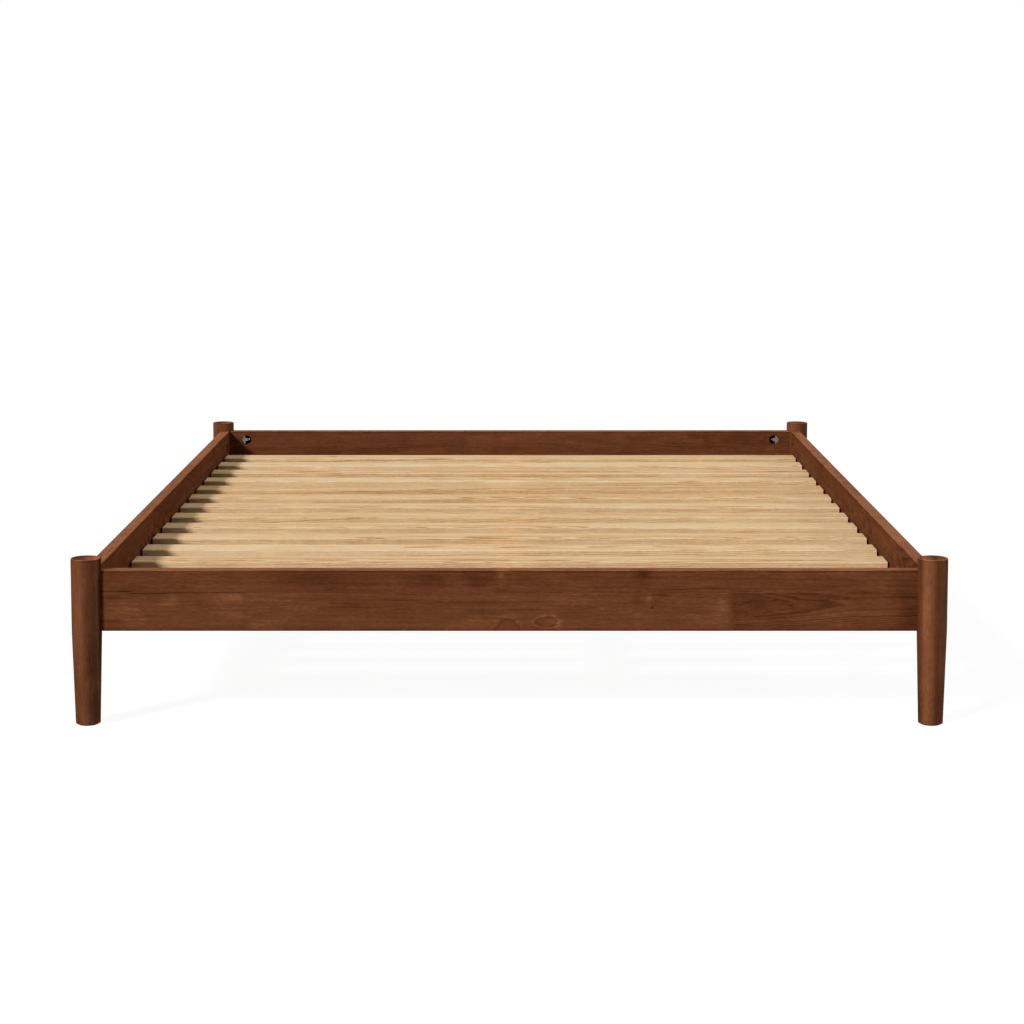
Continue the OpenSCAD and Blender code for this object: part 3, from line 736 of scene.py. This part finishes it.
def piece(name, bm, material, node, body):
    """Turns a bmesh into a smooth-shaded piece that stands for one CAD node."""
    bmesh.ops.recalc_face_normals(bm, faces=bm.faces)
    mesh = bpy.data.meshes.new(name)
    bm.to_mesh(mesh)
    bm.free()
    mesh.materials.append(material)
    mesh.shade_smooth()
    made = bpy.data.objects.new(name, mesh)
    bpy.context.scene.collection.objects.link(made)
    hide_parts(node)
    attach(made, body)
    return made


def loft(bm, rings):
    """Joins rings of points, each with the same count, and caps the first and the last."""
    made = [[bm.verts.new(p) for p in ring] for ring in rings]
    count = len(made[0])
    for lower, upper in zip(made, made[1:]):
        for i in range(count):
            j = (i + 1) % count
            bm.faces.new((lower[i], lower[j], upper[j], upper[i]))
    bm.faces.new(list(reversed(made[0])))
    bm.faces.new(made[-1])


def islands(mesh):
    """The low and high corners of each separate solid in a mesh."""
    bm = bmesh.new()
    bm.from_mesh(mesh)
    bmesh.ops.remove_doubles(bm, verts=bm.verts, dist=0.001 * MM)
    left = set(bm.verts)
    boxes = []
    while left:
        stack = [left.pop()]
        points = []
        while stack:
            vert = stack.pop()
            points.append(vert.co.copy())
            for edge in vert.link_edges:
                other = edge.other_vert(vert)
                if other in left:
                    left.remove(other)
                    stack.append(other)
        low = Vector(min(p[i] for p in points) for i in range(3))
        high = Vector(max(p[i] for p in points) for i in range(3))
        boxes.append((low, high))
    bm.free()
    return sorted(boxes, key=lambda box: tuple(round(v, 4) for v in box[0]))


THREAD_PITCH = 1.25 * MM
THREAD_DEPTH = 0.62 * MM
THREAD_SEGMENTS = 18
THREAD_ROWS = 6                                  # rows of points in each turn
CHAMFER = 0.9 * MM


def thread_profile(turn):
    """Height of a metric thread from 0 at its root to 1 at its crest, over one turn."""
    wave = abs(2 * (turn % 1.0) - 1)
    return min(max((wave - 0.15) / 0.7, 0.0), 1.0)


def threaded_rod(bm, start, end, radius, threads):
    """A rod between two points. threads lists the (from, to) stretches that carry a thread."""
    axis = (end - start).normalized()
    side = axis.orthogonal().normalized()
    other = axis.cross(side)
    length = (end - start).length
    places = {0.0, CHAMFER, length - CHAMFER, length}
    for low, high in threads:
        rows = max(2, round((high - low) / THREAD_PITCH * THREAD_ROWS))
        places.update(low + (high - low) * i / rows for i in range(rows + 1))
    rings = []
    for along in sorted(places):
        ring = []
        chamfer = min(along, length - along, CHAMFER) / CHAMFER
        for i in range(THREAD_SEGMENTS):
            angle = 2 * math.pi * i / THREAD_SEGMENTS
            r = radius
            for low, high in threads:
                if low < along < high:
                    fade = min((along - low) / THREAD_PITCH, (high - along) / THREAD_PITCH, 1.0)
                    if low <= 0 or high >= length:
                        fade = 1.0
                    turn = along / THREAD_PITCH - i / THREAD_SEGMENTS
                    r = radius - THREAD_DEPTH * fade * (1 - thread_profile(turn))
            r = min(r, radius - CHAMFER * 0.8 * (1 - chamfer))
            ring.append(start + axis * along + (side * math.cos(angle) + other * math.sin(angle)) * r)
        rings.append(ring)
    loft(bm, rings)


STUD_RADIUS = 4 * MM
STUD_THREAD = 25 * MM                            # the threaded length at each end of a rail stud

bm = bmesh.new()
for low, high in islands(nodes["rail_studs"].data):
    middle = (low + high) / 2
    size = high - low
    axis = X if size.x > size.y else Y
    start, end = middle.copy(), middle.copy()
    start[axis], end[axis] = low[axis], high[axis]
    threads = [(0.0, STUD_THREAD), (size[axis] - STUD_THREAD, size[axis])]
    threaded_rod(bm, start, end, STUD_RADIUS, threads)
piece("m8_rail_studs", bm, zinc, "rail_studs", "frame")

bm = bmesh.new()
low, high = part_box("centre_leg_stud")
middle = (low + high) / 2
start = Vector((middle.x, middle.y, low.z))
end = Vector((middle.x, middle.y, high.z))
threaded_rod(bm, start, end, STUD_RADIUS, [(0.0, high.z - low.z)])
piece("m8_centre_leg_stud", bm, zinc, "centre_leg_stud", "frame")


def ring_at(z, radius, segments):
    """A level ring of points about the Z axis."""
    ring = []
    for i in range(segments):
        angle = 2 * math.pi * i / segments
        ring.append(Vector((radius * math.cos(angle), radius * math.sin(angle), z)))
    return ring


def turned(bm, profile, segments):
    """A solid turned about the Z axis, from (radius, height) points, bottom to top."""
    loft(bm, [ring_at(z, r, segments) for r, z in profile])


HEX_SEGMENTS = 48
# Distance from an end, and how far out the chamfer is there, as a part of half the width across flats
HEX_CHAMFER = ((0.0, 0.95), (0.35 * MM, 1.045), (0.8 * MM, 1.16))


def hexagon(bm, low, high, across_flats):
    """A hexagon about the Z axis with turned chamfers: the corners drop away towards both ends."""
    half = across_flats / 2
    stations = [(low + inset, reach) for inset, reach in HEX_CHAMFER]
    stations += [(high - inset, reach) for inset, reach in reversed(HEX_CHAMFER)]
    rings = []
    for z, reach in stations:
        ring = []
        for i in range(HEX_SEGMENTS):
            angle = 2 * math.pi * i / HEX_SEGMENTS
            in_sector = (angle + math.pi / 6) % (math.pi / 3) - math.pi / 6
            r = min(half / math.cos(in_sector), half * reach)
            ring.append(Vector((r * math.cos(angle), r * math.sin(angle), z)))
        rings.append(ring)
    loft(bm, rings)


COLLAR_RADIUS = 7.0 * MM
COLLAR_Z = (3.1 * MM, 6.0 * MM)
COLLAR_CHAMFER = 0.4 * MM
COLLAR_SEGMENTS = 40
HEX_ACROSS_FLATS = 13 * MM
HEX_Z = (10.5 * MM, 15.5 * MM)
STEM_INSET = 0.2 * MM                            # the rod starts this far above the stem's lowest point
THREAD_START = HEX_Z[1] + 0.6 * MM               # from the rod's start

bm = bmesh.new()
bottom, top = COLLAR_Z
collar = [(COLLAR_RADIUS - COLLAR_CHAMFER, bottom), (COLLAR_RADIUS, bottom + COLLAR_CHAMFER),
          (COLLAR_RADIUS, top - COLLAR_CHAMFER), (COLLAR_RADIUS - COLLAR_CHAMFER, top)]
turned(bm, collar, COLLAR_SEGMENTS)
hexagon(bm, HEX_Z[0], HEX_Z[1], HEX_ACROSS_FLATS)
low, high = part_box("centre_foot_stem")
threaded_rod(bm, Vector((0, 0, low.z + STEM_INSET)), Vector((0, 0, high.z)), STUD_RADIUS,
             [(THREAD_START, high.z - low.z - STEM_INSET)])
piece("m8_levelling_stem", bm, zinc, "centre_foot_stem", "centre_stem")

# Felt glides: a pressed disc whose edge is rounded over and a little ragged. The profile gives how
# far the edge is drawn in, and at what height, in millimetres.
GLIDE_PROFILE = ((1.6, 0.0), (0.55, 0.16), (0.1, 0.5), (0.0, 1.0), (0.15, 1.5), (0.7, 1.86), (1.6, 2.0))
GLIDE_THICKNESS = 2.0
GLIDE_SEGMENTS = 72
GLIDE_MARGIN = 0.15 * MM                         # keeps the ragged edge inside the CAD disc
RAGGED = (-0.004, 0.006)                         # as a part of the radius

pick = random.Random(5)
for corner, (side_x, side_y) in CORNERS.items():
    low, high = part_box(f"{corner}_glide")
    radius = (high.x - low.x) / 2
    tall = high.z - low.z
    bm = bmesh.new()
    rings = []
    for inset, z in GLIDE_PROFILE:
        height = low.z + z / GLIDE_THICKNESS * tall
        ring = ring_at(height, radius - inset * MM - GLIDE_MARGIN, GLIDE_SEGMENTS)
        for p in ring:
            if 0 < z < GLIDE_THICKNESS:
                p.xy *= 1 + pick.uniform(*RAGGED)
            p.x += side_x * LEG_X
            p.y += side_y * LEG_Y
        rings.append(ring)
    loft(bm, rings)
    glide = piece(f"felt_{corner}", bm, felt, f"{corner}_glide", "frame")

# Webbing straps: ribbed along their length, and slack by a little between the slats
RIBS = 12
GROOVE = 0.2                                     # depth between the ribs, as a part of the thickness
EDGE_THINNING = 0.55
EDGE_WIDTH = 0.35 * MM
STRAP_COLUMNS = 4 * RIBS + 1
STRAP_STEPS = 300
STAPLE_OFFSET = 12 * MM                          # from a slat's middle
SAG = 2.4 * MM


def strap_drop(y):
    """How far the strap hangs below the slats at y."""
    for first, second in zip(SLAT_Y, SLAT_Y[1:]):
        a, b = first + STAPLE_OFFSET, second - STAPLE_OFFSET
        if a < y < b:
            t = (2 * y - a - b) / (b - a)
            return SAG * (1 - t * t) ** 1.5
    return 0.0


def strap_fullness(t, width):
    """The strap's thickness beside its full one, at t from 0 to 1 across it."""
    rib = 0.5 - 0.5 * math.cos(2 * math.pi * RIBS * t)
    edge = min(t, 1 - t) * width
    return (1 - GROOVE + GROOVE * rib) * (1 - EDGE_THINNING * math.exp(-edge / EDGE_WIDTH))


for side in ("left", "right"):
    node = f"slat_strap_{side}"
    low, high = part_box(node)
    width, length, thick = high.x - low.x, high.y - low.y, high.z - low.z
    bm = bmesh.new()
    rings = []
    for step in range(STRAP_STEPS + 1):
        y = low.y + length * step / STRAP_STEPS
        z = (low.z + high.z) / 2 - strap_drop(y)
        top_side, under_side = [], []
        for column in range(STRAP_COLUMNS):
            t = column / (STRAP_COLUMNS - 1)
            x = low.x + width * t
            half = thick / 2 * strap_fullness(t, width)
            top_side.append(Vector((x, y, z + half)))
            under_side.append(Vector((x, y, z - half)))
        rings.append(top_side + under_side[::-1])
    loft(bm, rings)
    strap = piece(f"webbing_{side}", bm, webbing, node, "frame")

# Softened edges on the sheet steel, the wire and the screws, with their widths in millimetres
SOFTENED = {"foot_beam_hanger": 0.5, "head_beam_hanger": 0.5, "strap_staples": 0.2,
            "hanger_screws": 0.15, "ledger_screws": 0.15, "slat_screws": 0.15, "rail_washers": 0.3}
for name, width in SOFTENED.items():
    bevel = nodes[name].modifiers.new("softened", "BEVEL")
    bevel.width = width * MM
    bevel.segments = 2
    bevel.limit_method = "ANGLE"
    bevel.angle_limit = math.radians(40)

# ---- Floor, light and camera ----------------------------------------------------------------

FLOOR_SIZE = 300
FLOOR_LIT = grey(0.31)                           # the floor as it throws light back on the object
FLOOR_SEEN = grey(0.09)                          # and as the camera sees it, on top of its glow
FLOOR_GLOW = 0.935
SKY = 0.13                                       # the sky's strength as light; it is seen as white

bpy.ops.mesh.primitive_plane_add(size=FLOOR_SIZE, location=(0, 0, 0))
floor = bpy.context.object
floor.name = "floor"
f = Finish("floor")
seen = f.seen_directly()
f.set(Base_Color=f.mix(seen, FLOOR_LIT, FLOOR_SEEN), Roughness=1.0, Specular_IOR_Level=0.0)
f.set(Emission_Color=grey(1.0), Emission_Strength=f.math("MULTIPLY", seen, FLOOR_GLOW))
floor.data.materials.append(f.material)

scene = bpy.context.scene
scene.view_settings.view_transform = "Standard"
world = bpy.data.worlds.new("studio")
scene.world = world
world.use_nodes = True
sky = Nodes(world.node_tree)
background = sky.tree.nodes["Background"]
sky.put(background.inputs["Strength"], sky.remap(sky.seen_directly(), 0.0, 1.0, SKY, 1.0, smooth=False))
sky.put(background.inputs["Color"], grey(1.0))


def sun(name, azimuth, elevation, angle, strength):
    """A distant light, softer with a wider angle. Azimuth 0 is before the foot end, 90 at the right."""
    a, e = math.radians(azimuth), math.radians(elevation)
    away = Vector((math.sin(a) * math.cos(e), -math.cos(a) * math.cos(e), math.sin(e)))
    data = bpy.data.lights.new(name, "SUN")
    data.angle = math.radians(angle)
    data.energy = strength
    light = bpy.data.objects.new(name, data)
    scene.collection.objects.link(light)
    light.location = away * 10
    light.rotation_mode = "QUATERNION"
    light.rotation_quaternion = away.to_track_quat("Z", "Y")


sun("key", -43, 32, 9, 3.8)
sun("fill_right", 98, 24, 30, 1.05)
sun("fill_behind", 178, 40, 30, 1.0)

# The photograph's stand: its place beside the middle and before the front legs' axes, its height,
# pitch and focal length
CAMERA_ASIDE = 4.9 * MM
CAMERA_BACK = 4.30
CAMERA_HEIGHT = 1.091
CAMERA_PITCH = 5.0
CAMERA_LENS = 82.23
SENSOR = 36.0
HORIZON_ABOVE_CENTRE = 0.3647                    # of the picture's width
camera_data = bpy.data.cameras.new("camera")
camera_data.sensor_width = SENSOR
camera_data.lens = CAMERA_LENS
camera_data.shift_y = math.tan(math.radians(CAMERA_PITCH)) * CAMERA_LENS / SENSOR - HORIZON_ABOVE_CENTRE
camera = bpy.data.objects.new("camera", camera_data)
scene.collection.objects.link(camera)
camera.location = (CAMERA_ASIDE, -LEG_Y - CAMERA_BACK, CAMERA_HEIGHT)
camera.rotation_euler = (math.radians(90 - CAMERA_PITCH), 0, 0)
scene.camera = camera
